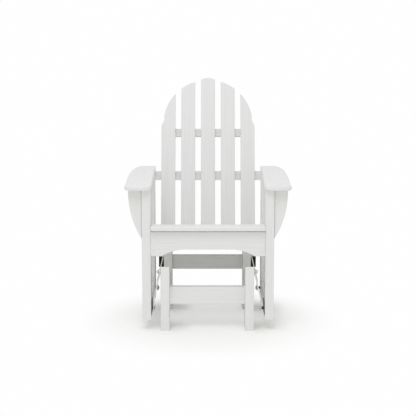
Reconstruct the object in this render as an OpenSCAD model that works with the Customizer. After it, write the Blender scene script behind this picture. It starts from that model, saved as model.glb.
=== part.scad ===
// Adirondack glider chair: a slatted seat that hangs from a floor base on four swing links.
// Millimetres, +Z up, the front of the chair faces -Y, and the origin is on the floor
// under the middle of the chair.

/* [Boards] */
// Thickness of the posts, legs and rails
board_t = 38.1; // [30:0.1:45]
// Width of the posts and legs, front to back
board_w = 88.9; // [70:0.1:100]
// Height of the base rails and stretchers
rail_h = 63.5; // [50:0.5:75]
// Thickness of the arms, slats and brackets
slat_t = 20; // [16:0.5:22]
// Rounding of the long edges of every board
edge_r = 3; // [1:0.5:5]

/* [Seat frame] */
// Clear width between the posts
seat_w = 495.3; // [470:0.1:540]
// Depth of the frame over the front and rear posts
frame_d = 458; // [430:1:500]
// Height of the feet of the posts above the floor
post_gap = 50; // [40:1:60]
// Height of the underside of the arms
arm_z = 621.5; // [590:0.5:650]
// Height of the underside of the side rail
side_rail_z = 66; // [60:1:72]
// Height of the side rail itself
side_rail_h = 70; // [60:1:80]
// How far the apron and the brackets sit behind the front of the posts
apron_inset = 3; // [1:0.5:6]
bracket_inset = 12; // [6:1:20]

/* [Seat] */
// Height of the underside of the front seat slat
seat_z = 445; // [430:1:460]
// Fall of the seat towards the back, in degrees
seat_fall = 12; // [9:0.5:14]
// Width of a seat slat, and the gap between two of them
seat_slat_w = 64.5; // [58:0.5:65]
seat_gap = 8; // [4:0.5:9]
// Overhang of the front seat slat before the posts
nosing = 20; // [10:1:24]
// Thickness and end height of the two seat stringers
stringer_t = 22; // [18:0.2:22.3]
stringer_h = 96; // [84:1:100]
// Height of the apron at its ends, and how much its middle is cut away
apron_h = 108; // [90:1:115]
apron_arch = 30; // [15:1:40]

/* [Back] */
// Gap between two back slats
back_gap = 28; // [18:0.5:34]
// Clearance of the outer slats from the stringers beside them
back_clear = 0.9; // [0.5:0.1:2]
// Lean of the back from upright, in degrees
back_lean = 15.5; // [10:0.5:18]
// Distance from the front posts to the front of the back, at seat height
back_y = 502; // [496:1:530]
// Length of the middle slat above the seat, along the slat
back_len = 713; // [680:1:760]
// Length of the slats below the seat
tail_len = 62; // [56:1:70]
// Angle at which the round crown meets its shoulders, in degrees
crown_start = 10.7; // [8:0.1:20]
// Step of the shoulder on the outer slats
shoulder = 13.5; // [8:0.5:18]
// Extra height of the middle slat above the crown curve
crest = 10; // [0:0.5:16]
// Height of the upper back rail along the slats, measured from the seat
upper_rail_s = 428; // [400:1:455]

/* [Arms] */
// Width of an arm at its front
arm_w = 115; // [105:1:125]
// Overhang of the arm before the post, and past the post towards the seat
arm_nose = 30; // [20:1:45]
arm_lap = 5; // [0:0.5:10]
// How far the inner edge of the arm swings outward along its length
arm_flare = 14; // [0:1:20]
// Bulge of the outer edge of the arm
arm_belly = 6.5; // [0:0.5:14]
// Radius of the two front corners of the arm
arm_corner = 28; // [20:1:36]
// Length of the long curve at the outer rear corner of the arm, and how far it cuts in
arm_sweep = 330; // [280:5:360]
arm_cut = 39; // [28:1:50]
// Length of the arm behind the arm rail
arm_tail = 45; // [30:1:60]
// Reach of the arm bracket from the post, and its height
bracket_reach = 57.7; // [45:0.1:65]
bracket_h = 212; // [180:1:230]

/* [Base] */
// Gap between the base legs and the posts of the seat frame
leg_gap = 44.45; // [42:0.05:50]
// Height of the base legs, and the slope of their tops down to the back
leg_h = 285; // [278:1:292]
leg_cut = 14; // [0:0.5:16]
// How far the base sits to one side of the seat, as it hangs on its spacers
base_shift = -3; // [-4:0.5:4]
// Thickness of the side rails of the base, which are flush with the outside of its legs
base_rail_t = 22; // [18:0.5:38]
// Height of the front stretcher
front_stretcher_h = 76; // [60:0.5:85]
// Undersides of the low front stretcher and of the high rear stretcher
front_stretcher_z = 113.5; // [100:0.5:125]
rear_stretcher_z = 187; // [180:0.5:200]
// How far the front stretcher sits behind the front of the legs
stretcher_inset = 25; // [10:1:40]

/* [Swing links] */
// Distance between the two pivots of a link
link_len = 162; // [156:0.5:164]
// Drop of the upper pivots below the tops of the base legs
pivot_drop = 31; // [27:0.5:35]
// Width and thickness of the link bar
link_w = 28; // [24:0.5:30]
link_t = 5; // [4:0.5:6]
// Distance from each pivot to the bend of the link, at its head and at its foot
link_head = 8; // [8:0.5:20]
link_foot = 38; // [30:1:60]
// Diameter of the pivot bolts
bolt_d = 10; // [8:0.5:12]
// Radial running clearance of a bolt in its bush
run_gap = 0.05; // [0.03:0.01:0.08]
// Wall and length of the bushes in the link ends
bush_wall = 3; // [2:0.25:3.5]
bush_len = 9; // [8:0.5:10]
// Diameter of the round bolt heads, and their height at the upper and the lower pivots
head_d = 19; // [16:0.5:21]
head_h = 8.5; // [5:0.5:9]
low_head_h = 3; // [2.6:0.1:4]
// Running gap beside each bush and under each head
side_gap = 0.3; // [0.2:0.05:0.5]
// Wall and mean length of the spacers on the lower pivots
spacer_wall = 1.5; // [1:0.25:4]
spacer_len = 4.35; // [4.2:0.05:7]
// Thickness and height of the steel pads between the front lower pivots and their posts
pad_t = 3; // [2:0.25:4]
pad_h = 56; // [40:1:60]
// Distance of a pad from the edges of its post, and of its middle above the pivot
pad_edge = 4; // [2:0.5:8]
pad_rise = 7; // [0:0.5:8]
// Depth of the bolt in the board behind it
bolt_grip = 30; // [20:1:34]
// Thickness, front to back depth and height of the rubber stops
stop_t = 27.5; // [20:0.5:28]
stop_d = 16; // [12:0.5:20]
stop_h = 62; // [50:1:66]

/* [Hidden] */
$fn = 48;

// Left of the chair is -X, seen from the front
left = -1;
right = 1;
post_in = seat_w / 2;
post_out = post_in + board_t;
rear_post_y = frame_d - board_w;
pivot_front_y = board_w / 2;
pivot_rear_y = frame_d - board_w / 2;
leg_out = post_in - leg_gap;
leg_in = leg_out - board_t;
pivot_z = leg_h - pivot_drop;

// Seat: the slats lie on a plane that falls to the back from a level front slat
seat_start = -nosing;
fall = tan(seat_fall);
back_w = seat_w - 2 * (stringer_t + back_clear);
back_slat_w = (back_w - 4 * back_gap) / 5;
back_pitch = back_slat_w + back_gap;
back_dir = [sin(back_lean), cos(back_lean)];
back_norm = [cos(back_lean), -sin(back_lean)];
seat_top_rear = seat_z + slat_t - fall * (back_y - seat_slat_w + nosing);
back_z = seat_top_rear + 14;

// Crown: an arc over the back that runs down to a shoulder on each outer slat
crown_a = back_w / 2 - shoulder;
crown_r = crown_a / cos(crown_start);
crown_s = back_len - crest - crown_r;

// The arm rail carries the tails of the arms behind the back
arm_rail_s = (arm_z - back_z + slat_t * back_dir.x) / back_dir.y;
arm_rail_y = back_y + arm_rail_s * back_dir.x + slat_t * back_norm.x;
arm_end = arm_rail_y + board_t + arm_tail;

// Whole chair, front to back, for placing the origin
front_end = -arm_nose;
back_end = back_y + back_len * back_dir.x + slat_t * back_norm.x;
mid_y = (front_end + back_end) / 2;

// Swing links: the joggle takes up what the bush, its gaps, the spacer and the pad leave
joggle = leg_gap - bush_len - 2 * side_gap - spacer_len - pad_t;
link_x = leg_out + side_gap + bush_len / 2;
low_x = link_x + joggle;
head_x = bush_len / 2 + side_gap;

// Rounded outline of a board across its grain
module board_section(a, b, r = edge_r) {
  translate([r, 0]) square([a - 2 * r, b]);
  translate([0, r]) square([a, b - 2 * r]);
  for (x = [r, a - r], y = [r, b - r]) translate([x, y]) circle(r, $fn = 24);
}

// Boards with rounded long edges that run along X, Y or Z from their lowest corner
module board_x(size, r = edge_r) {
  rotate([90, 0, 90]) linear_extrude(size.x) board_section(size.y, size.z, r);
}

module board_y(size, r = edge_r) {
  translate([0, size.y, 0]) rotate([90, 0, 0]) linear_extrude(size.y) board_section(size.x, size.z, r);
}

module board_z(size, r = edge_r) {
  linear_extrude(size.z) board_section(size.x, size.y, r);
}

// Place a piece on the left or the right: pieces are drawn on the right
module side(s) {
  mirror([s < 0 ? 1 : 0, 0, 0]) children();
}

// The seat frame stands in the middle and the base a little to one side
module at_frame() {
  translate([0, -mid_y, 0]) children();
}

module at_base() {
  translate([base_shift, -mid_y, 0]) children();
}

module bolt_bore(y, z, x, depth, d = bolt_d) {
  translate([x, y, z]) rotate([0, 90, 0]) cylinder(h = depth, d = d);
}

function cubic(a, b, c, d, n) = [
  for (i = [0:n])
    let (t = i / n, u = 1 - t)
      u * u * u * a + 3 * u * u * t * b + 3 * u * t * t * c + t * t * t * d
];

function arc(c, r, a0, a1, n) = [
  for (i = [0:n]) let (a = a0 + (a1 - a0) * i / n) c + r * [cos(a), sin(a)]
];

// Base

module base_leg(s, y) {
  pivot_y = y + board_w / 2;
  color("white") at_base() side(s) difference() {
    translate([leg_in, y, 0]) board_z([board_t, board_w, leg_h]);
    translate([leg_in - 1, y, leg_h]) rotate([-leg_cut, 0, 0]) cube([board_t + 2, 2 * board_w, board_w]);
    bolt_bore(pivot_y, pivot_z, leg_out - bolt_grip, bolt_grip + 1);
  }
}

module base_rail(s) {
  color("white") at_base() side(s)
    translate([leg_out - base_rail_t, board_w, front_stretcher_z])
      board_y([base_rail_t, rear_post_y - board_w, rail_h]);
}

module stretcher(y, z, h) {
  color("white") at_base() translate([-leg_in, y, z]) board_x([2 * leg_in, board_t, h]);
}

// A pivot bolt: a shank from the board through the link, and a domed head with a flange
module pivot_bolt(tip_x, seat_x, dir, high) {
  shank = abs(seat_x - tip_x);
  translate([min(tip_x, seat_x), 0, 0]) rotate([0, 90, 0]) cylinder(h = shank, d = bolt_d);
  translate([seat_x, 0, 0]) rotate([0, dir * 90, 0]) {
    cylinder(h = 2, d = head_d);
    translate([0, 0, 2]) cylinder(h = high - 2, d1 = head_d - 3, d2 = head_d - 8);
  }
}

module upper_pivot_bolts() {
  color("silver") at_base() for (s = [left, right], y = [pivot_front_y, pivot_rear_y])
    side(s) translate([0, y, pivot_z]) pivot_bolt(leg_out - bolt_grip, link_x + head_x, 1, head_h);
}

// Rubber stop behind the rear link, where the link meets it at the end of its travel
module swing_stop(s) {
  color("black") at_base() side(s)
    translate([leg_out, frame_d - 8, pivot_z - stop_h - 8]) board_z([stop_t, stop_d, stop_h]);
}

// Swing links: a flat bar with two straight ends and a joggle between them

function link_line(half) = [
  [-half, link_len], [-half, link_len - link_head], [joggle - half, link_foot], [joggle - half, 0],
  [joggle + half, 0], [joggle + half, link_foot], [half, link_len - link_head], [half, link_len]
];

module link_bar(s, y) {
  bore = bolt_d + 2 * (run_gap + bush_wall);
  color("silver") at_base() side(s) translate([link_x, y, pivot_z - link_len]) difference() {
    union() {
      translate([0, link_w / 2, 0]) rotate([90, 0, 0]) linear_extrude(link_w)
        polygon(link_line(link_t / 2));
      translate([joggle - link_t / 2, 0, 0]) rotate([0, 90, 0]) cylinder(h = link_t, d = link_w);
      translate([-link_t / 2, 0, link_len]) rotate([0, 90, 0]) cylinder(h = link_t, d = link_w);
    }
    bolt_bore(0, 0, joggle - link_t, 2 * link_t, bore);
    bolt_bore(0, link_len, -link_t, 2 * link_t, bore);
  }
}

module link_bushes(s, y) {
  inner = bolt_d + 2 * run_gap;
  color("gainsboro") at_base() side(s) translate([link_x, y, pivot_z - link_len])
    for (end = [[0, link_len], [joggle, 0]])
      translate([end.x - bush_len / 2, 0, end.y]) rotate([0, 90, 0]) difference() {
        cylinder(h = bush_len, d = inner + 2 * bush_wall);
        translate([0, 0, -1]) cylinder(h = bush_len + 2, d = inner);
      }
}

// Lower pivots: the bolt enters the post, at the front through a pad, and its length
// follows the sideways place of the base

module lower_pivot_bolts() {
  color("silver") at_frame() for (s = [left, right], y = [pivot_front_y, pivot_rear_y]) {
    hang = low_x + s * base_shift;
    side(s) translate([0, y, pivot_z - link_len])
      pivot_bolt(post_in + bolt_grip, hang - head_x, -1, low_head_h);
  }
}

module lower_pivot_spacers() {
  color("dimgray") at_frame() for (s = [left, right], y = [pivot_front_y, pivot_rear_y]) {
    start = low_x + s * base_shift + head_x;
    length = post_in - (y == pivot_front_y ? pad_t : 0) - start;
    side(s) translate([start, y, pivot_z - link_len]) rotate([0, 90, 0]) difference() {
      cylinder(h = length, d = bolt_d + 2 * spacer_wall);
      translate([0, 0, -1]) cylinder(h = length + 2, d = bolt_d);
    }
  }
}

// Steel pad on the inner face of a front post, around its lower pivot
module pivot_pad(s, y) {
  low_z = pivot_z - link_len;
  color("dimgray") at_frame() side(s) difference() {
    translate([post_in - pad_t, y + pad_edge, low_z + pad_rise - pad_h / 2])
      cube([pad_t, board_w - 2 * pad_edge, pad_h]);
    bolt_bore(y + board_w / 2, low_z, post_in - pad_t - 1, pad_t + 2);
  }
}

// Seat frame

module post(s, y) {
  color("white") at_frame() side(s) difference() {
    translate([post_in, y, post_gap]) board_z([board_t, board_w, arm_z - post_gap]);
    bolt_bore(y + board_w / 2, pivot_z - link_len, post_in - 1, bolt_grip + 1);
  }
}

module side_rail(s) {
  color("white") at_frame() side(s)
    translate([post_in, board_w, side_rail_z])
      board_y([board_t, rear_post_y - board_w, side_rail_h]);
}

// Top of the stringers, under the seat slats
function under_seat(y) = seat_z - fall * max(0, y - seat_slat_w + nosing);

// Stringer seen from the side: straight under the slats, with a long shallow arch below
module stringer(s) {
  front_y = apron_inset + slat_t;
  knee_y = seat_slat_w - nosing;
  tail_s = -tail_len;
  tail_y = back_y + tail_s * back_dir.x + slat_t + board_t + 6;
  top_rear = under_seat(back_y);
  tail_z = back_z + tail_s * back_dir.y - 6;
  belly = cubic(
    [tail_y, tail_z], [tail_y - 110, tail_z - 10],
    [front_y + 150, seat_z - stringer_h + 22], [front_y, seat_z - stringer_h], 16
  );
  outline = concat(
    [[front_y, seat_z], [knee_y, seat_z], [back_y, top_rear]],
    [[tail_y + 8, under_seat(tail_y + 8)], [tail_y + 8, tail_z + 14]],
    belly
  );
  color("white") at_frame() side(s)
    translate([post_in - stringer_t, 0, 0]) rotate([90, 0, 90]) linear_extrude(stringer_t)
      polygon(outline);
}

// Apron: straight along the top, cut away below between two square ends
module apron() {
  half = post_in;
  top = seat_z - 6;
  end = 48;
  shelf = [half - end, top - apron_h];
  arch = cubic(
    shelf, shelf + [-12, apron_arch * 0.3],
    shelf + [-42, apron_arch * 0.8], shelf + [-84, apron_arch], 14
  );
  right_half = concat([[0, top], [half, top], [half, top - apron_h]], arch, [[0, top - apron_h + apron_arch]]);
  color("white") at_frame() translate([0, apron_inset + slat_t, 0]) rotate([90, 0, 0])
    linear_extrude(slat_t) {
      polygon(right_half);
      mirror([1, 0]) polygon(right_half);
    }
}

// Seat slats: the front one is level, the others follow the fall of the stringers
module seat_slat(i) {
  start = seat_start + i * (seat_slat_w + seat_gap);
  lift = under_seat(start);
  width = i == 0 ? seat_slat_w : seat_slat_w / cos(seat_fall) - 1;
  angle = i == 0 ? 0 : -seat_fall;
  length = 2 * post_in - 2;
  color("white") at_frame() translate([-length / 2, start, lift]) rotate([angle, 0, 0])
    board_x([length, width, slat_t], min(1.6 * edge_r, slat_t / 2 - 0.5));
}

// Arm outline from above, right hand: the front has two rounded corners, the outer edge
// bulges a little, and the outer rear corner is one long curve
function arm_outline() =
  let (
    in_x = post_in - arm_lap,
    out_x = in_x + arm_w,
    wide_x = out_x + arm_belly,
    rear_x = in_x + arm_flare,
    front_y = -arm_nose,
    corner = arm_corner,
    sweep_y = arm_end - arm_sweep
  ) concat(
    arc([in_x + corner, front_y + corner + 4], corner, 180, 262, 10),
    cubic([in_x + corner, front_y + 4], [in_x + 50, front_y - 1.4],
      [out_x - 50, front_y - 1.4], [out_x - corner, front_y + 4], 10),
    arc([out_x - corner, front_y + corner + 4], corner, -82, 0, 10),
    cubic([out_x, 0.2 * sweep_y], [out_x + 4, 0.55 * sweep_y], [wide_x, 0.75 * sweep_y],
      [wide_x, sweep_y], 10),
    cubic([wide_x, sweep_y + 0.33 * arm_sweep], [wide_x, sweep_y + 0.66 * arm_sweep],
      [wide_x - 0.46 * arm_cut, arm_end - 0.036 * arm_sweep], [wide_x - arm_cut, arm_end], 16),
    [[rear_x + 3, arm_end], [rear_x, arm_end - 3]]
  );

module arm(s) {
  color("white") at_frame() side(s) translate([0, 0, arm_z]) linear_extrude(slat_t)
    polygon(arm_outline());
}

// Arm bracket: a flat board on the outer face of the front post, curved down to a point
module arm_bracket(s) {
  top = arm_z;
  curve = cubic(
    [bracket_reach, -17], [bracket_reach * 0.96, -bracket_h * 0.43],
    [bracket_reach * 0.65, -bracket_h * 0.73], [2, -bracket_h], 16
  );
  color("white") at_frame() side(s)
    translate([post_out, bracket_inset + slat_t, top]) rotate([90, 0, 0]) linear_extrude(slat_t)
      polygon(concat([[0, -bracket_h], [0, 0], [bracket_reach, 0]], curve));
}

// Back: the slats are cut from one crown curve, drawn in the plane of the back

module in_back_plane(offset = 0) {
  translate([0, back_y, back_z]) rotate([-back_lean, 0, 0]) translate([0, offset, 0])
    rotate([90, 0, 0]) children();
}

module crown_curve() {
  start = acos(crown_a / crown_r);
  polygon(concat(
    [[-crown_a, -tail_len], [crown_a, -tail_len]],
    arc([0, crown_s], crown_r, start, 180 - start, 48)
  ));
}

// Shoulders carry the full width of the back up to the foot of the crown
module shoulders() {
  wide = crown_a + shoulder;
  ease = cubic(
    [wide, crown_s - 14], [wide - 1, crown_s], [crown_a + 4, crown_s + 2],
    [crown_a - 2, crown_s + 24], 8
  );
  for (m = [0, 1]) mirror([m, 0])
    polygon(concat([[0, -tail_len], [wide, -tail_len]], ease, [[0, crown_s + 24]]));
}

module back_slat(i) {
  middle = (i - 3) * back_pitch;
  crest_r = 75;
  color("white") at_frame() in_back_plane(slat_t) linear_extrude(slat_t) {
    if (i == 3) {
      intersection() {
        translate([-back_slat_w / 2, -tail_len]) square([back_slat_w, tail_len + back_len]);
        union() {
          translate([-back_slat_w / 2, -tail_len])
            square([back_slat_w, tail_len + back_len - crest_r]);
          translate([0, back_len - crest_r]) circle(crest_r, $fn = 96);
        }
      }
    } else {
      intersection() {
        translate([middle - back_slat_w / 2, -tail_len]) square([back_slat_w, tail_len + back_len]);
        union() {
          crown_curve();
          shoulders();
        }
      }
    }
  }
}

module upper_back_rail() {
  length = back_w - back_slat_w;
  color("white") at_frame() translate([0, back_y, back_z]) rotate([-back_lean, 0, 0])
    translate([-length / 2, slat_t, upper_rail_s]) board_x([length, slat_t, board_t]);
}

// Arm rail: level on top for the arms, with its front face cut to the lean of the back
module arm_rail() {
  length = 2 * (post_in + 60);
  slope = board_t * tan(back_lean);
  color("white") at_frame() translate([-length / 2, arm_rail_y, arm_z - board_t]) rotate([90, 0, 90])
    linear_extrude(length)
      polygon([[-slope, 0], [board_t, 0], [board_t, board_t], [0, board_t]]);
}

// Lower back rail between the stringers, behind the tails of the back slats
module lower_back_rail() {
  length = 2 * (post_in - stringer_t);
  color("white") at_frame() translate([0, back_y, back_z]) rotate([-back_lean, 0, 0])
    translate([-length / 2, slat_t, -tail_len]) board_x([length, board_t, tail_len - 4]);
}

base_leg(left, 0);  // base_leg_front_left
base_leg(right, 0);  // base_leg_front_right
base_leg(left, rear_post_y);  // base_leg_rear_left
base_leg(right, rear_post_y);  // base_leg_rear_right
base_rail(left);  // base_rail_left
base_rail(right);  // base_rail_right
stretcher(stretcher_inset, front_stretcher_z, front_stretcher_h);  // front_stretcher
stretcher(pivot_rear_y - board_t / 2, rear_stretcher_z, rail_h);  // rear_stretcher
upper_pivot_bolts();
swing_stop(left);  // swing_stop_left
swing_stop(right);  // swing_stop_right
link_bar(left, pivot_front_y);  // link_front_left
link_bar(right, pivot_front_y);  // link_front_right
link_bar(left, pivot_rear_y);  // link_rear_left
link_bar(right, pivot_rear_y);  // link_rear_right
link_bushes(left, pivot_front_y);  // bushes_front_left
link_bushes(right, pivot_front_y);  // bushes_front_right
link_bushes(left, pivot_rear_y);  // bushes_rear_left
link_bushes(right, pivot_rear_y);  // bushes_rear_right
lower_pivot_bolts();
lower_pivot_spacers();
pivot_pad(left, 0);  // pivot_pad_left
pivot_pad(right, 0);  // pivot_pad_right
post(left, 0);  // post_front_left
post(right, 0);  // post_front_right
post(left, rear_post_y);  // post_rear_left
post(right, rear_post_y);  // post_rear_right
side_rail(left);  // side_rail_left
side_rail(right);  // side_rail_right
stringer(left);  // stringer_left
stringer(right);  // stringer_right
apron();
seat_slat(0);  // seat_nosing
seat_slat(1);  // seat_slat_2
seat_slat(2);  // seat_slat_3
seat_slat(3);  // seat_slat_4
seat_slat(4);  // seat_slat_5
seat_slat(5);  // seat_slat_6
seat_slat(6);  // seat_slat_7
arm(left);  // arm_left
arm(right);  // arm_right
arm_bracket(left);  // arm_bracket_left
arm_bracket(right);  // arm_bracket_right
back_slat(1);  // back_slat_1
back_slat(2);  // back_slat_2
back_slat(3);  // back_slat_3
back_slat(4);  // back_slat_4
back_slat(5);  // back_slat_5
upper_back_rail();
arm_rail();
lower_back_rail();
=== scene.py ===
import math

import bmesh
import bpy
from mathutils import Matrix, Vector


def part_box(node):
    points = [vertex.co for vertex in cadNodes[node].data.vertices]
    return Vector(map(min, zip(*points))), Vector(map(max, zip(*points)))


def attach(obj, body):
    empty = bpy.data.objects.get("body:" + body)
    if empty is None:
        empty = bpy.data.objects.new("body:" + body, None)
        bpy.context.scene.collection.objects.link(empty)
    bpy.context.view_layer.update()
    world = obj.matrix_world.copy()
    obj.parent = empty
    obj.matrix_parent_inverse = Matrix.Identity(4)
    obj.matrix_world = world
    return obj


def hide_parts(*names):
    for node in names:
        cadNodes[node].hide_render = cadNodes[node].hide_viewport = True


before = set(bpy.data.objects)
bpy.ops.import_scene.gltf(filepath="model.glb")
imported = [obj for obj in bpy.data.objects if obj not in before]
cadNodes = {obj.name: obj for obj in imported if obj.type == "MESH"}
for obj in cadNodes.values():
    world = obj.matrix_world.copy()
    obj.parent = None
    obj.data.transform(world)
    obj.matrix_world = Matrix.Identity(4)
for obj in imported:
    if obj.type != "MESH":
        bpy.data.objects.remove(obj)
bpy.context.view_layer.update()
print("frame loaded:", len(cadNodes), "nodes")

mm = 0.001
leanAngle = math.radians(15.5)  # the back leans this far from upright
fallAngle = math.radians(12)  # the seat falls this far to the back

# camera at the photograph's viewing angle
cameraPlan = {
    "lens": 91.1,  # mm, on a 36 mm sensor
    "place": (0.0, -4.792, 1.288),
    "pitch": 9.49,  # degrees below level
}

cameraData = bpy.data.cameras.new("photoCamera")
cameraData.lens = cameraPlan["lens"]
cameraData.sensor_width = 36
cameraData.clip_end = 200
camera = bpy.data.objects.new("photoCamera", cameraData)
camera.location = cameraPlan["place"]
camera.rotation_euler = (math.radians(90 - cameraPlan["pitch"]), 0, 0)
bpy.context.collection.objects.link(camera)
bpy.context.scene.camera = camera
print("camera placed")


def linear(hexColor):
    channels = [int(hexColor[i : i + 2], 16) / 255 for i in (1, 3, 5)]
    return tuple(c / 12.92 if c <= 0.04045 else ((c + 0.055) / 1.055) ** 2.4 for c in channels) + (1.0,)


def addNode(tree, kind, settings=None, inputs=None, links=None):
    node = tree.nodes.new(kind)
    for key, value in (settings or {}).items():
        setattr(node, key, value)
    for key, value in (inputs or {}).items():
        node.inputs[key].default_value = value
    for key, source in (links or {}).items():
        tree.links.new(source, node.inputs[key])
    return node


def newMaterial(name):
    material = bpy.data.materials.new(name)
    material.use_nodes = True
    material.node_tree.nodes.clear()
    return material, material.node_tree


def setTones(ramp, spread, colors, tone=1.0):
    for stop, position, color in zip(ramp.color_ramp.elements, spread, colors):
        stop.position = position
        stop.color = [channel * tone for channel in linear(color)[:3]] + [1.0]


# A noise varies the roughness and the relief of a skin. span is the part of the noise that
# counts, relief is the bump's strength and depth its height in mm.
def addSkin(tree, noise, span, roughness, relief, depth, inputs=None, links=None):
    rough = addNode(
        tree,
        "ShaderNodeMapRange",
        inputs={
            "From Min": span[0],
            "From Max": span[1],
            "To Min": roughness[0],
            "To Max": roughness[1],
        },
        links={"Value": noise.outputs["Fac"]},
    )
    bump = addNode(
        tree,
        "ShaderNodeBump",
        inputs={"Strength": relief, "Distance": depth * mm},
        links={"Height": noise.outputs["Fac"]},
    )
    skin = addNode(
        tree,
        "ShaderNodeBsdfPrincipled",
        inputs=inputs,
        links={"Roughness": rough.outputs["Result"], "Normal": bump.outputs["Normal"], **(links or {})},
    )
    addNode(tree, "ShaderNodeOutputMaterial", links={"Surface": skin.outputs["BSDF"]})


# Recycled HDPE lumber: extruded boards with a fine drawn grain along their length and a
# satin skin, a touch warm, with faint clouds where the melt cooled unevenly.
lumberPlan = {
    "light": "#efefed",
    "dark": "#e7e7e4",
    "grainWidth": 3.4,  # mm across one streak, coarser than the real one so that it shows
    "grainRun": 240,  # mm along one streak
    "grainDetail": 3.0,
    "grainBreak": 0.55,  # how much the finer streaks count
    "cloud": 45,  # mm across one cloud
    "cloudShare": 0.12,
    "spread": (0.36, 0.76),  # of the noise, from the dark tone to the light one
    "span": (0.3, 0.7),
    "roughness": (0.42, 0.56),
    "relief": 0.5,
    "depth": 0.03,
    "ior": 1.52,
    "slatPaintedShade": 0.955,  # painted shade: the slats are made a little darker than the posts, for the shade they lie in
    "railPaintedShade": 0.93,  # painted shade: the rails behind the slats and the rear stretcher under the seat are darker still
}


# turn: lean of the board's length about X; tone darkens a copy of the lumber as painted shade
def lumberMaterial(name, along, turn=0.0, tone=1.0):
    material, tree = newMaterial(name)
    plan = lumberPlan
    across, run = 1 / (plan["grainWidth"] * mm), 1 / (plan["grainRun"] * mm)
    scale = [run if axis == along else across for axis in "xyz"]
    place = addNode(tree, "ShaderNodeTexCoord")
    straight = addNode(
        tree,
        "ShaderNodeMapping",
        inputs={"Rotation": (turn, 0, 0)},
        links={"Vector": place.outputs["Object"]},
    )
    stretched = addNode(
        tree, "ShaderNodeMapping", inputs={"Scale": scale}, links={"Vector": straight.outputs["Vector"]}
    )
    grain = addNode(
        tree,
        "ShaderNodeTexNoise",
        inputs={"Scale": 1.0, "Detail": plan["grainDetail"], "Roughness": plan["grainBreak"]},
        links={"Vector": stretched.outputs["Vector"]},
    )
    cloud = addNode(
        tree,
        "ShaderNodeTexNoise",
        inputs={"Scale": 1 / (plan["cloud"] * mm), "Detail": 2.0},
        links={"Vector": place.outputs["Object"]},
    )
    blend = addNode(
        tree,
        "ShaderNodeMath",
        settings={"operation": "MULTIPLY_ADD"},
        inputs={1: plan["cloudShare"]},
        links={0: cloud.outputs["Fac"], 2: grain.outputs["Fac"]},
    )
    ramp = addNode(tree, "ShaderNodeValToRGB", links={"Fac": blend.outputs["Value"]})
    setTones(ramp, plan["spread"], (plan["dark"], plan["light"]), tone)
    addSkin(
        tree,
        grain,
        plan["span"],
        plan["roughness"],
        plan["relief"],
        plan["depth"],
        inputs={"IOR": plan["ior"]},
        links={"Base Color": ramp.outputs["Color"]},
    )
    return material


# the rail, back and seat copies of the one lumber are darkened as painted shade
lumber = {
    "x": lumberMaterial("hdpeLumberAcross", "x"),
    "y": lumberMaterial("hdpeLumberDeep", "y"),
    "z": lumberMaterial("hdpeLumberUpright", "z"),
    "rail": lumberMaterial("hdpeLumberRailPaintedShade", "x", 0.0, lumberPlan["railPaintedShade"]),
    "back": lumberMaterial("hdpeLumberBackPaintedShade", "z", leanAngle, lumberPlan["slatPaintedShade"]),
    "seat": lumberMaterial("hdpeLumberSeatPaintedShade", "x", fallAngle, lumberPlan["slatPaintedShade"]),
    "fall": lumberMaterial("hdpeLumberStringer", "y", fallAngle),
}


# Stainless steel bar and bolts: brushed along the bar, so highlights stretch across it
steelPlan = {
    "streakWidth": 0.625,  # mm, coarser than real brushing so that it shows
    "streakRun": 25,  # mm
    "span": (0.25, 0.75),
    "smoother": 0.07,  # the roughness runs from this much below the one given
    "rougher": 0.1,  # to this much above it
    "relief": 0.4,
}


def steelMaterial(name, color, roughness, along, brushDepth):
    material, tree = newMaterial(name)
    plan = steelPlan
    across, run = 1 / (plan["streakWidth"] * mm), 1 / (plan["streakRun"] * mm)
    place = addNode(tree, "ShaderNodeTexCoord")
    stretched = addNode(
        tree,
        "ShaderNodeMapping",
        inputs={"Scale": [run if axis == along else across for axis in "xyz"]},
        links={"Vector": place.outputs["Object"]},
    )
    brushed = addNode(
        tree,
        "ShaderNodeTexNoise",
        inputs={"Scale": 1.0, "Detail": 4.0},
        links={"Vector": stretched.outputs["Vector"]},
    )
    addSkin(
        tree,
        brushed,
        plan["span"],
        (roughness - plan["smoother"], roughness + plan["rougher"]),
        plan["relief"],
        brushDepth,
        inputs={"Base Color": linear(color), "Metallic": 1.0},
    )
    return material


linkSteel = steelMaterial("brushedStainlessBar", "#e9e9e9", 0.46, "z", 0.03)
boltSteel = steelMaterial("turnedStainlessBolt", "#f6f6f5", 0.5, "x", 0.015)
# painted shade: the steel pivot pads are dark grey to stand for the shade on the inner faces there
paintedShadePad = steelMaterial("steelPadPaintedShade", "#707273", 0.55, "y", 0.03)


# Moulded parts: carbon-filled rubber is dull and slightly grainy, acetal is smooth and waxy
mouldedPlan = {
    "spread": (0.35, 0.7),
    "span": (0.0, 1.0),
    "relief": 0.4,
    "depth": 0.08,
}


def mouldedMaterial(name, color, paler, grit, roughness):  # grit: mm across one grain
    material, tree = newMaterial(name)
    place = addNode(tree, "ShaderNodeTexCoord")
    grain = addNode(
        tree,
        "ShaderNodeTexNoise",
        inputs={"Scale": 1 / (grit * mm), "Detail": 3.0},
        links={"Vector": place.outputs["Object"]},
    )
    ramp = addNode(tree, "ShaderNodeValToRGB", links={"Fac": grain.outputs["Fac"]})
    plan = mouldedPlan
    setTones(ramp, plan["spread"], (color, paler))
    addSkin(
        tree,
        grain,
        plan["span"],
        roughness,
        plan["relief"],
        plan["depth"],
        links={"Base Color": ramp.outputs["Color"]},
    )
    return material


stopRubber = mouldedMaterial("mouldedRubber", "#1d1d1c", "#2c2c2a", 1.2, (0.6, 0.85))
bushAcetal = mouldedMaterial("turnedAcetal", "#35363a", "#3f4044", 2.5, (0.35, 0.5))
print("materials made:", len(bpy.data.materials))


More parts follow.
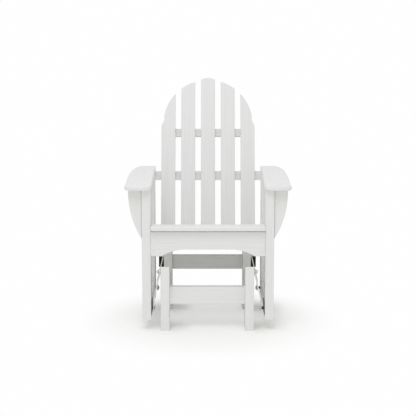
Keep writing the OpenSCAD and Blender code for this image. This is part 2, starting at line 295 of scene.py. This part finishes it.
# Shaping: merged copies of CAD pieces, with their sharp edges rounded over
shapingPlan = {
    "weld": 0.01,  # mm, corners closer than this become one
    "flatWithin": 0.5,  # degrees, flatter joins between faces are taken out
    "atEnd": 0.02,  # mm, how close to an end plane an edge counts as lying in it
    "boardSharp": 50,  # degrees, a board's edges sharper than this are rounded
    "broadFace": 2000,  # mm2, a face larger than this is shaded flat
}


def addPiece(name, mesh, material, body, slot, *replaced):
    piece = bpy.data.objects.new(name, mesh)
    bpy.context.collection.objects.link(piece)
    mesh.materials.clear()
    mesh.materials.append(material)
    if replaced:
        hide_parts(*replaced)
    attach(piece, body)
    return piece


def mergedCopy(node):
    shape = bmesh.new()
    shape.from_mesh(cadNodes[node].data)
    bmesh.ops.remove_doubles(shape, verts=shape.verts, dist=shapingPlan["weld"] * mm)
    bmesh.ops.dissolve_limit(
        shape,
        angle_limit=math.radians(shapingPlan["flatWithin"]),
        verts=shape.verts,
        edges=shape.edges,
        delimit=set(),
    )
    return shape


def sharpEdges(shape, angle):
    between = [edge for edge in shape.edges if len(edge.link_faces) == 2]
    return [edge for edge in between if edge.calc_face_angle(0) > math.radians(angle)]


def edgesAt(edges, axis, planes, depth):  # those that lie within this depth of one of the planes
    def near(edge, plane):
        return all(abs(corner.co[axis] - plane) < depth * mm for corner in edge.verts)

    return [edge for edge in edges if any(near(edge, plane) for plane in planes)]


def roundEdges(shape, radius, segments, chosen):
    bmesh.ops.bevel(
        shape,
        geom=chosen,
        offset=radius * mm,
        offset_type="OFFSET",
        segments=segments,
        profile=0.5,  # a round section
        affect="EDGES",
        clamp_overlap=True,
    )


def finishMesh(shape, name, flatAngle=40):
    mesh = bpy.data.meshes.new(name)
    for face in shape.faces:
        face.smooth = face.calc_area() < shapingPlan["broadFace"] * mm * mm
    for edge in shape.edges:
        edge.smooth = len(edge.link_faces) == 2 and edge.calc_face_angle(0) < math.radians(flatAngle)
    shape.to_mesh(mesh)
    shape.free()
    return mesh


# Boards. endsOnly: axis whose two ends alone are rounded, where the long edges already are
def softBoard(node, material, radius, endsOnly=None, endDepth=None, segments=3, body="seat"):
    shape = mergedCopy(node)
    sharp = sharpEdges(shape, shapingPlan["boardSharp"])
    if endsOnly is not None:
        low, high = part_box(node)
        ends = (low[endsOnly], high[endsOnly])
        sharp = edgesAt(sharp, endsOnly, ends, endDepth or shapingPlan["atEnd"])
    roundEdges(shape, radius, segments, sharp)
    name = node + "_board"
    return addPiece(name, finishMesh(shape, name), material, body, "white_lumber", node)


boardPlan = {
    "eased": 0.6,  # mm off the ends of rails and stretchers
    "sawn": 1.6,  # mm rounding of a sawn end
    "legTop": 24,  # the sloping cut of a leg lies this close under its highest edge
    "arm": 5.5,  # the arms are rounded over all round
    "slat": 2.6,
    "bracket": 2.0,
    "joint": 1.5,  # mm wide shadow line where a bracket meets its post
    "apron": 2.4,
}

for end in ("front", "rear"):
    for hand in ("left", "right"):
        softBoard(
            f"base_leg_{end}_{hand}",
            lumber["z"],
            boardPlan["sawn"],
            endsOnly=2,
            endDepth=boardPlan["legTop"],
            body="base",
        )
        softBoard(f"post_{end}_{hand}", lumber["z"], boardPlan["sawn"], endsOnly=2)
for node, body in (
    ("base_rail_left", "base"),
    ("base_rail_right", "base"),
    ("side_rail_left", "seat"),
    ("side_rail_right", "seat"),
):
    softBoard(node, lumber["y"], boardPlan["eased"], endsOnly=1, segments=2, body=body)
# the rear stretcher takes the darker rail copy, painted shade under the seat
for node, grain in (("front_stretcher", "x"), ("rear_stretcher", "rail")):
    softBoard(node, lumber[grain], boardPlan["eased"], endsOnly=0, segments=2, body="base")
for node in ("stringer_left", "stringer_right"):
    softBoard(node, lumber["fall"], boardPlan["bracket"])
for node in ("arm_left", "arm_right"):
    softBoard(node, lumber["y"], boardPlan["arm"], segments=5)
for node in ("arm_bracket_left", "arm_bracket_right"):
    bracket = softBoard(node, lumber["z"], boardPlan["bracket"])
    jointX = min(abs(corner[0]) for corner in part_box(node)) + boardPlan["joint"] * mm
    for vertex in bracket.data.vertices:
        vertex.co.x = math.copysign(max(abs(vertex.co.x), jointX), vertex.co.x)
softBoard("apron", lumber["x"], boardPlan["apron"])
for index in range(1, 6):
    softBoard(f"back_slat_{index}", lumber["back"], boardPlan["slat"])
for node in ("upper_back_rail", "lower_back_rail", "arm_rail"):
    softBoard(node, lumber["rail"], boardPlan["sawn"], endsOnly=0)
softBoard("seat_nosing", lumber["x"], boardPlan["sawn"], endsOnly=0)
print("boards rounded")


# Geometry Nodes: a tree is built here, its inputs set by identifier, then made plain
def newTree(name, inputs):
    tree = bpy.data.node_groups.new(name, "GeometryNodeTree")
    tree.interface.new_socket("Geometry", in_out="INPUT", socket_type="NodeSocketGeometry")
    for label, kind in inputs:
        tree.interface.new_socket(label, in_out="INPUT", socket_type="NodeSocket" + kind)
    tree.interface.new_socket("Geometry", in_out="OUTPUT", socket_type="NodeSocketGeometry")
    entry = tree.nodes.new("NodeGroupInput")
    leave = tree.nodes.new("NodeGroupOutput")
    return tree, entry.outputs, leave.inputs["Geometry"]


def runTree(tree, values, name, source=None):
    carrier = bpy.data.objects.new(name + "_carrier", source or bpy.data.meshes.new(name + "_source"))
    bpy.context.collection.objects.link(carrier)
    modifier = carrier.modifiers.new("build", "NODES")
    modifier.node_group = tree
    for item in tree.interface.items_tree:
        if item.item_type == "SOCKET" and item.in_out == "INPUT" and item.name in values:
            modifier[item.identifier] = values[item.name]
    evaluated = carrier.evaluated_get(bpy.context.evaluated_depsgraph_get())
    mesh = bpy.data.meshes.new_from_object(evaluated)
    mesh.name = name
    carrier.modifiers.remove(modifier)
    bpy.data.objects.remove(carrier)
    return mesh


# Seat slats: one rounded board, repeated down the fall of the seat
slatPlan = {
    "first": 2,  # seat slat 1 is the front slat, which lies level
    "count": 6,
    "gap": 8.0,  # mm, as are all the sizes below
    "width": 64.5,
    "trim": 1.0,  # off the width that the fall stretches
    "thickness": 20.0,
    "rounding": 4.8,
    "endRounding": 2.0,
}
slopingSlats = [f"seat_slat_{slatPlan['first'] + index}" for index in range(slatPlan["count"])]
slope = Vector((0, math.cos(fallAngle), -math.sin(fallAngle)))  # down the seat, to the back
rise = Vector((0, math.sin(fallAngle), math.cos(fallAngle)))  # square off the seat


def slatRowTree():
    tree, given, result = newTree(
        "slatRow",
        [
            ("Count", "Int"),
            ("Start", "Vector"),
            ("Step", "Vector"),
            ("Length", "Float"),
            ("Width", "Float"),
            ("Thickness", "Float"),
            ("Rounding", "Float"),
            ("Fall", "Vector"),
            ("Material", "Material"),
        ],
    )
    line = addNode(
        tree,
        "GeometryNodeMeshLine",
        links={"Count": given["Count"], "Start Location": given["Start"], "Offset": given["Step"]},
    )
    section = addNode(
        tree,
        "GeometryNodeCurvePrimitiveQuadrilateral",
        links={"Width": given["Width"], "Height": given["Thickness"]},
    )
    filleted = addNode(
        tree,
        "GeometryNodeFilletCurve",
        settings={"mode": "POLY"},
        inputs={1: 5},
        links={"Curve": section.outputs["Curve"], "Radius": given["Rounding"]},
    )
    cap = addNode(
        tree,
        "GeometryNodeFillCurve",
        settings={"mode": "NGONS"},
        links={"Curve": filleted.outputs["Curve"]},
    )
    span = addNode(tree, "ShaderNodeCombineXYZ", links={"Z": given["Length"]})
    board = addNode(
        tree,
        "GeometryNodeExtrudeMesh",
        inputs={"Individual": False},
        links={"Mesh": cap.outputs["Mesh"], "Offset": span.outputs["Vector"]},
    )
    turned = addNode(tree, "GeometryNodeFlipFaces", links={"Mesh": cap.outputs["Mesh"]})
    closed = addNode(tree, "GeometryNodeJoinGeometry")
    tree.links.new(board.outputs["Mesh"], closed.inputs["Geometry"])
    tree.links.new(turned.outputs["Mesh"], closed.inputs["Geometry"])
    merged = addNode(
        tree,
        "GeometryNodeMergeByDistance",
        inputs={"Distance": shapingPlan["weld"] * mm},
        links={"Geometry": closed.outputs["Geometry"]},
    )
    laid = addNode(
        tree,
        "GeometryNodeTransform",
        inputs={"Rotation": (math.radians(90), 0, math.radians(90))},
        links={"Geometry": merged.outputs["Geometry"]},
    )
    row = addNode(
        tree,
        "GeometryNodeInstanceOnPoints",
        links={
            "Points": line.outputs["Mesh"],
            "Instance": laid.outputs["Geometry"],
            "Rotation": given["Fall"],
        },
    )
    real = addNode(tree, "GeometryNodeRealizeInstances", links={"Geometry": row.outputs["Instances"]})
    painted = addNode(
        tree,
        "GeometryNodeSetMaterial",
        links={"Geometry": real.outputs["Geometry"], "Material": given["Material"]},
    )
    tree.links.new(painted.outputs["Geometry"], result)
    return tree


def seatSlats():
    low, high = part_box(slopingSlats[0])
    width = slatPlan["width"] * mm / math.cos(fallAngle) - slatPlan["trim"] * mm
    thick = slatPlan["thickness"] * mm
    corner = Vector((low[0], low[1], high[2] - thick * math.cos(fallAngle)))
    pitch = (slatPlan["width"] + slatPlan["gap"]) * mm
    mesh = runTree(
        slatRowTree(),
        {
            "Count": slatPlan["count"],
            "Start": corner + slope * width / 2 + rise * thick / 2,
            "Step": (0, pitch, -pitch * math.tan(fallAngle)),
            "Length": high[0] - low[0],
            "Width": width,
            "Thickness": thick,
            "Rounding": slatPlan["rounding"] * mm,
            "Fall": (-fallAngle, 0, 0),
            "Material": lumber["seat"],
        },
        "seatSlatRow",
    )
    shape = bmesh.new()
    shape.from_mesh(mesh)
    sharp = sharpEdges(shape, shapingPlan["boardSharp"])
    ends = edgesAt(sharp, 0, (low[0], high[0]), shapingPlan["atEnd"])
    roundEdges(shape, slatPlan["endRounding"], 3, ends)
    finished = finishMesh(shape, "seatSlatRow")
    addPiece("seatSlatRow", finished, lumber["seat"], "seat", "white_lumber", *slopingSlats)


seatSlats()
print("seat slats laid")


# Screws: a low pan head with a square drive, one tree for every row of them
screwPlan = {
    "radius": 3.8,  # mm
    "height": 1.5,  # mm
    "drive": 2.6,  # mm
    "driveDepth": 1.0,  # mm
    "sunk": 0.5,  # mm that the head bites into the board
    "crown": 0.72,  # the flat top's share of the radius
    "sides": 20,
}


def screwTree():
    tree, given, result = newTree(
        "screwRow",
        [
            ("Radius", "Float"),
            ("Height", "Float"),
            ("Drive", "Float"),
            ("Drive Depth", "Float"),
            ("Sunk", "Float"),
            ("Facing", "Vector"),
            ("Material", "Material"),
        ],
    )
    crown = addNode(
        tree,
        "ShaderNodeMath",
        settings={"operation": "MULTIPLY"},
        inputs={1: screwPlan["crown"]},
        links={0: given["Radius"]},
    )
    head = addNode(
        tree,
        "GeometryNodeMeshCone",
        inputs={"Vertices": screwPlan["sides"], "Side Segments": 1},
        links={
            "Radius Bottom": given["Radius"],
            "Radius Top": crown.outputs[0],
            "Depth": given["Height"],
        },
    )
    driveSize = addNode(
        tree,
        "ShaderNodeCombineXYZ",
        links={"X": given["Drive"], "Y": given["Drive"], "Z": given["Height"]},
    )
    drive = addNode(tree, "GeometryNodeMeshCube", links={"Size": driveSize.outputs["Vector"]})
    driveLift = addNode(
        tree,
        "ShaderNodeMath",
        settings={"operation": "SUBTRACT"},
        links={0: given["Height"], 1: given["Drive Depth"]},
    )
    halfUp = addNode(
        tree,
        "ShaderNodeMath",
        settings={"operation": "MULTIPLY_ADD"},
        inputs={1: 0.5},
        links={0: given["Height"], 2: driveLift.outputs[0]},
    )
    driveAt = addNode(tree, "ShaderNodeCombineXYZ", links={"Z": halfUp.outputs[0]})
    driveMoved = addNode(
        tree,
        "GeometryNodeTransform",
        links={"Geometry": drive.outputs["Mesh"], "Translation": driveAt.outputs["Vector"]},
    )
    cut = addNode(
        tree,
        "GeometryNodeMeshBoolean",
        settings={"operation": "DIFFERENCE"},
        links={"Mesh 1": head.outputs["Mesh"], "Mesh 2": driveMoved.outputs["Geometry"]},
    )
    sink = addNode(
        tree,
        "ShaderNodeMath",
        settings={"operation": "MULTIPLY"},
        inputs={1: -1.0},
        links={0: given["Sunk"]},
    )
    sinkAt = addNode(tree, "ShaderNodeCombineXYZ", links={"Z": sink.outputs[0]})
    seated = addNode(
        tree,
        "GeometryNodeTransform",
        links={"Geometry": cut.outputs["Mesh"], "Translation": sinkAt.outputs["Vector"]},
    )
    row = addNode(
        tree,
        "GeometryNodeInstanceOnPoints",
        links={
            "Points": given["Geometry"],
            "Instance": seated.outputs["Geometry"],
            "Rotation": given["Facing"],
        },
    )
    real = addNode(tree, "GeometryNodeRealizeInstances", links={"Geometry": row.outputs["Instances"]})
    painted = addNode(
        tree,
        "GeometryNodeSetMaterial",
        links={"Geometry": real.outputs["Geometry"], "Material": given["Material"]},
    )
    tree.links.new(painted.outputs["Geometry"], result)
    return tree


screwRows = screwTree()


# facing: the turn that takes +Z to where the heads face
def screws(name, points, facing):
    source = bpy.data.meshes.new(name + "_points")
    source.from_pydata([tuple(p) for p in points], [], [])
    mesh = runTree(
        screwRows,
        {
            "Radius": screwPlan["radius"] * mm,
            "Height": screwPlan["height"] * mm,
            "Drive": screwPlan["drive"] * mm,
            "Drive Depth": screwPlan["driveDepth"] * mm,
            "Sunk": screwPlan["sunk"] * mm,
            "Facing": facing,
            "Material": boltSteel,
        },
        name,
        source,
    )
    addPiece(name, mesh, boltSteel, "seat", "steel")


upward = (0, 0, 0)
forward = (math.radians(90), 0, 0)
backward = (math.radians(-90), 0, 0)
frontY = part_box("post_front_left")[0][1]  # front face of the posts
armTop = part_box("arm_left")[1][2]

screwPlaces = {  # mm
    # out from the middle of the chair, and back from the front face of the posts
    "arm": ((259, 26), (274, 62), (259, 396), (274, 432), (272, 598), (290, 618)),
    "apronOut": 236,
    "apronHigh": (353, 413),
    "seatOut": 236.5,
    "slatRun": (17, 48),  # down each sloping slat
    "noseRun": 52,  # back from the edge of the front slat
    "backPitch": 95.5,  # from one back slat to the next
    "pairHalf": 14,  # a pair of screws stands askew in each back slat
    "upperDown": 13,  # below the top of the upper back rail
    "upperThick": 20,  # of that rail
    "lowerDown": 26,
    "lowerThick": 38.1,
    "armRailUp": 19,
}

armScrews = []
for side in (-1, 1):
    for x, y in screwPlaces["arm"]:
        armScrews.append((side * x * mm, frontY + y * mm, armTop))
screws("arm_screws", armScrews, upward)

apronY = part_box("apron")[0][1]
apronX = screwPlaces["apronOut"] * mm
apronScrews = [(side * apronX, apronY, z * mm) for side in (-1, 1) for z in screwPlaces["apronHigh"]]
screws("apron_screws", apronScrews, forward)

seatX = screwPlaces["seatOut"] * mm
seatScrews = []
for node in slopingSlats:
    low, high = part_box(node)
    top = Vector((0, low[1] + slatPlan["thickness"] * mm * math.sin(fallAngle), high[2]))
    for side in (-1, 1):
        for run in screwPlaces["slatRun"]:
            seatScrews.append(Vector((side * seatX, 0, 0)) + top + slope * run * mm)
screws("seat_screws", seatScrews, (-fallAngle, 0, 0))
noseLow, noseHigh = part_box("seat_nosing")
noseY = noseLow[1] + screwPlaces["noseRun"] * mm
screws("nosing_screws", [(side * seatX, noseY, noseHigh[2]) for side in (-1, 1)], upward)

# the back rails are screwed to the slats from behind
upBack = Vector((0, math.sin(leanAngle), math.cos(leanAngle)))


def railTop(node, thick):  # the rear edge at the top of a rail that leans with the back
    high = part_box(node)[1]
    return Vector((0, high[1], high[2] - thick * mm * math.sin(leanAngle)))


upperTop = railTop("upper_back_rail", screwPlaces["upperThick"])
lowerTop = railTop("lower_back_rail", screwPlaces["lowerThick"])
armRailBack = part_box("arm_rail")[1][1]
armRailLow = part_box("arm_rail")[0][2]
backScrews = []
armRailScrews = []
for index in range(-2, 3):
    for askew in (-screwPlaces["pairHalf"], screwPlaces["pairHalf"]):
        out = Vector(((index * screwPlaces["backPitch"] + askew) * mm, 0, 0))
        if abs(index) < 2:  # the upper rail is screwed to the three middle slats
            backScrews.append(out + upperTop - upBack * (screwPlaces["upperDown"] + askew / 3) * mm)
        backScrews.append(out + lowerTop - upBack * (screwPlaces["lowerDown"] + askew / 2) * mm)
        armRailZ = armRailLow + (screwPlaces["armRailUp"] + askew / 3) * mm
        armRailScrews.append((out.x, armRailBack, armRailZ))
screws("back_screws", backScrews, (math.radians(-90) - leanAngle, 0, 0))
screws("arm_rail_screws", armRailScrews, backward)
print("screws driven")


# Swing hardware: link bars with eased edges, bolts, bushes and rubber stops
hardwarePlan = {  # mm of rounding, and the angle above which an edge gets it
    "link": (0.6, 60),
    "bolt": (0.35, 35),
    "pad": (0.5, 60),
    "stop": (1.5, 50),
}


def hardware(kind, node, ending, material, body, slot, segments=2, flatAngle=40):
    radius, sharp = hardwarePlan[kind]
    shape = mergedCopy(node)
    roundEdges(shape, radius, segments, sharpEdges(shape, sharp))
    addPiece(node + ending, finishMesh(shape, node + ending, flatAngle), material, body, slot, node)


for end in ("front", "rear"):
    for hand in ("left", "right"):
        node = f"link_{end}_{hand}"
        hardware("link", node, "_bar", linkSteel, node, "steel", flatAngle=30)
        cadNodes[f"bushes_{end}_{hand}"].material_slots[0].material = bushAcetal
for node, body in (("upper_pivot_bolts", "base"), ("lower_pivot_bolts", "seat")):
    hardware("bolt", node, "_turned", boltSteel, body, "steel", flatAngle=30)
cadNodes["lower_pivot_spacers"].material_slots[0].material = bushAcetal
for hand in ("left", "right"):
    # the pads' dark grey is painted shade on the seat frame's inner faces
    hardware("pad", f"pivot_pad_{hand}", "_plate", paintedShadePad, "seat", "steel")
for hand in ("left", "right"):
    hardware("stop", f"swing_stop_{hand}", "_block", stopRubber, "base", "rubber", segments=3)
print("swing hardware made")


# Studio: a pale floor that fades to the white of the backdrop, a high key lamp and a soft sky,
# with values matched to the light of the photograph
studioPlan = {
    "white": 0.993,  # the backdrop, as the camera sees it
    "sky": 0.702,
    "key": 69.2,  # watts
    "keyPlace": (-0.55, -2.8, 4.7),
    "keyAim": (0, 0, 0.45),
    "keySize": 2.8,  # metres
    "lightColor": (0.995, 0.995, 1.025),  # the lamp and the sky are a touch cool
    "floorReach": 60.0,  # metres
    "floor": "#fefefa",  # as the camera sees it
    "bounce": "#fbfbf6",  # as it lights the chair, a little warmer
    "whiteLow": 0.43,  # share of plain white in the floor under the chair
    "fadeMiddle": -0.16,  # metres, the middle of the fade lies before that of the chair
    "fadeFrom": 0.32,  # metres from that middle where the share of white starts to grow
    "fadeTo": 0.62,
    "contact": 0.1,  # metres round the feet where the floor keeps its full shadow
    "contactDepth": 4.0,
    "contactLean": (-0.8, 0.6),  # painted shadow: the occlusion test leans this way, so the shade shows a little to the right of each foot
}

world = bpy.data.worlds.new("studioSky")
bpy.context.scene.world = world
world.use_nodes = True
sky = world.node_tree
sky.nodes.clear()
rays = addNode(sky, "ShaderNodeLightPath")
white = {"Color": (1, 1, 1, 1), "Strength": studioPlan["white"]}
seenWhite = addNode(sky, "ShaderNodeBackground", inputs=white)
softLight = addNode(
    sky,
    "ShaderNodeBackground",
    inputs={"Color": (*studioPlan["lightColor"], 1), "Strength": studioPlan["sky"]},
)
anySeen = addNode(
    sky,
    "ShaderNodeMath",
    settings={"operation": "MAXIMUM"},
    links={0: rays.outputs["Is Camera Ray"], 1: rays.outputs["Is Glossy Ray"]},
)
allSeen = addNode(
    sky,
    "ShaderNodeMath",
    settings={"operation": "MAXIMUM"},
    links={0: anySeen.outputs[0], 1: rays.outputs["Is Transmission Ray"]},
)
skyMix = addNode(
    sky,
    "ShaderNodeMixShader",
    links={0: allSeen.outputs[0], 1: softLight.outputs[0], 2: seenWhite.outputs[0]},
)
addNode(sky, "ShaderNodeOutputWorld", links={"Surface": skyMix.outputs[0]})

floorMaterial, floorTree = newMaterial("studioPaper")
floorPlace = addNode(floorTree, "ShaderNodeTexCoord")
flatPlace = addNode(
    floorTree,
    "ShaderNodeMapping",
    inputs={"Location": (0, -studioPlan["fadeMiddle"], 0), "Scale": (1, 1, 0)},
    links={"Vector": floorPlace.outputs["Object"]},
)
away = addNode(
    floorTree,
    "ShaderNodeVectorMath",
    settings={"operation": "LENGTH"},
    links={0: flatPlace.outputs["Vector"]},
)
fade = addNode(
    floorTree,
    "ShaderNodeMapRange",
    settings={"interpolation_type": "SMOOTHSTEP"},
    inputs={
        "From Min": studioPlan["fadeFrom"],
        "From Max": studioPlan["fadeTo"],
        "To Min": studioPlan["whiteLow"],
    },
    links={"Value": away.outputs["Value"]},
)
# painted shadow: a leaning occlusion test holds the floor's white glow back round the feet
contactSide = addNode(
    floorTree,
    "ShaderNodeCombineXYZ",
    inputs={"X": studioPlan["contactLean"][0], "Z": studioPlan["contactLean"][1]},
)
contact = addNode(
    floorTree,
    "ShaderNodeAmbientOcclusion",
    inputs={"Distance": studioPlan["contact"]},
    links={"Normal": contactSide.outputs["Vector"]},
)
contactShade = addNode(
    floorTree,
    "ShaderNodeMath",
    settings={"operation": "POWER"},
    inputs={1: studioPlan["contactDepth"]},
    links={0: contact.outputs["AO"]},
)
openShare = addNode(
    floorTree,
    "ShaderNodeMath",
    settings={"operation": "MULTIPLY"},
    links={0: fade.outputs["Result"], 1: contactShade.outputs[0]},
)
glowRays = addNode(floorTree, "ShaderNodeLightPath")
paperColor = addNode(
    floorTree,
    "ShaderNodeMix",
    settings={"data_type": "RGBA"},
    inputs={6: linear(studioPlan["bounce"]), 7: linear(studioPlan["floor"])},
    links={0: glowRays.outputs["Is Camera Ray"]},
)
paper = addNode(floorTree, "ShaderNodeBsdfDiffuse", links={"Color": paperColor.outputs[2]})
glow = addNode(floorTree, "ShaderNodeEmission", inputs=white)
seenFade = addNode(
    floorTree,
    "ShaderNodeMath",
    settings={"operation": "MULTIPLY"},
    links={0: openShare.outputs[0], 1: glowRays.outputs["Is Camera Ray"]},
)
floorMix = addNode(
    floorTree,
    "ShaderNodeMixShader",
    links={0: seenFade.outputs[0], 1: paper.outputs[0], 2: glow.outputs[0]},
)
addNode(floorTree, "ShaderNodeOutputMaterial", links={"Surface": floorMix.outputs[0]})

floorMesh = bpy.data.meshes.new("studioFloor")
reach = studioPlan["floorReach"]
floorMesh.from_pydata(
    [(-reach, -reach, 0), (reach, -reach, 0), (reach, reach, 0), (-reach, reach, 0)], [], [(0, 1, 2, 3)]
)
floorMesh.materials.append(floorMaterial)
studioFloor = bpy.data.objects.new("studioFloor", floorMesh)
bpy.context.collection.objects.link(studioFloor)

keyData = bpy.data.lights.new("keyLamp", "AREA")
keyData.energy = studioPlan["key"]
keyData.size = studioPlan["keySize"]
keyData.color = studioPlan["lightColor"]
keyLamp = bpy.data.objects.new("keyLamp", keyData)
keyLamp.location = studioPlan["keyPlace"]
aim = Vector(studioPlan["keyAim"]) - keyLamp.location
keyLamp.rotation_euler = aim.to_track_quat("-Z", "Y").to_euler()
bpy.context.collection.objects.link(keyLamp)

bpy.context.scene.view_settings.view_transform = "Standard"
print("studio lit")
